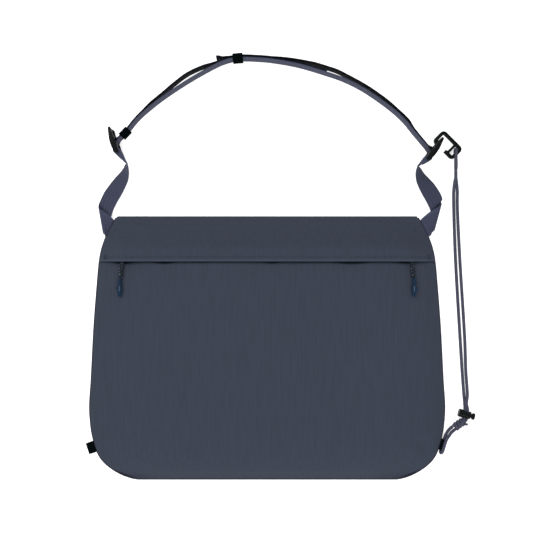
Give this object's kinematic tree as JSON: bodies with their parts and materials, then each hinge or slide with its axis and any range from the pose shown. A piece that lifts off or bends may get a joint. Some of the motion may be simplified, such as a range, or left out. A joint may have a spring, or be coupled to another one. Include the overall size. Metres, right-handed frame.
{
  "type": "cycling musette bag",
  "caption": "Flat cycling musette bag with a flap over its zip, an adjustable webbing shoulder strap and a corded waist stabiliser.",
  "frame": {"origin": "on the floor under the middle of the bag's back", "axes": "+X towards the bag's right as the front is seen, +Y towards the shoulder strap, +Z out of the front"},
  "size_m": [0.4268, 0.4621, 0.027],
  "materials": {
    "shell_cloth": "matt woven nylon",
    "webbing": "slightly glossy woven webbing",
    "elastic_black": "matt elastic",
    "zip_black": "matt tape",
    "black_plastic": "satin moulded plastic",
    "pull_cord": "braided cord",
    "pull_plastic": "satin moulded plastic",
    "cord_braid": "braided cord"
  },
  "bodies": {
    "bag": {"back_panel": "shell_cloth", "front_panel": "shell_cloth", "flap_panel": "shell_cloth", "zip_tape": "zip_black", "zip_slider_left": "black_plastic", "zip_slider_right": "black_plastic", "pull_cord_left": "pull_cord", "pull_cord_right": "pull_cord", "pull_end_left": "pull_plastic", "pull_end_right": "pull_plastic", "tab_left": "elastic_black", "tab_right": "elastic_black", "buckle_left": "black_plastic", "buckle_right": "black_plastic", "side_web_left": "webbing", "side_web_right": "webbing", "shoulder_strap": "webbing", "keeper_left": "elastic_black", "keeper_middle": "elastic_black", "g_hook": "black_plastic", "cord_upper": "cord_braid", "cord_lower": "cord_braid", "cord_lock_barrel": "black_plastic", "cord_knot": "cord_braid"},
    "lock_button": {"cord_lock_button": "black_plastic"}
  },
  "joints": [
    {"name": "cord_lock_press", "type": "slide", "parent": "bag", "child": "lock_button", "axis": [0.9613, -0.2756, 0], "range_m": [-0.0022, 0], "stiffness_N_per_m": 300}
  ]
}
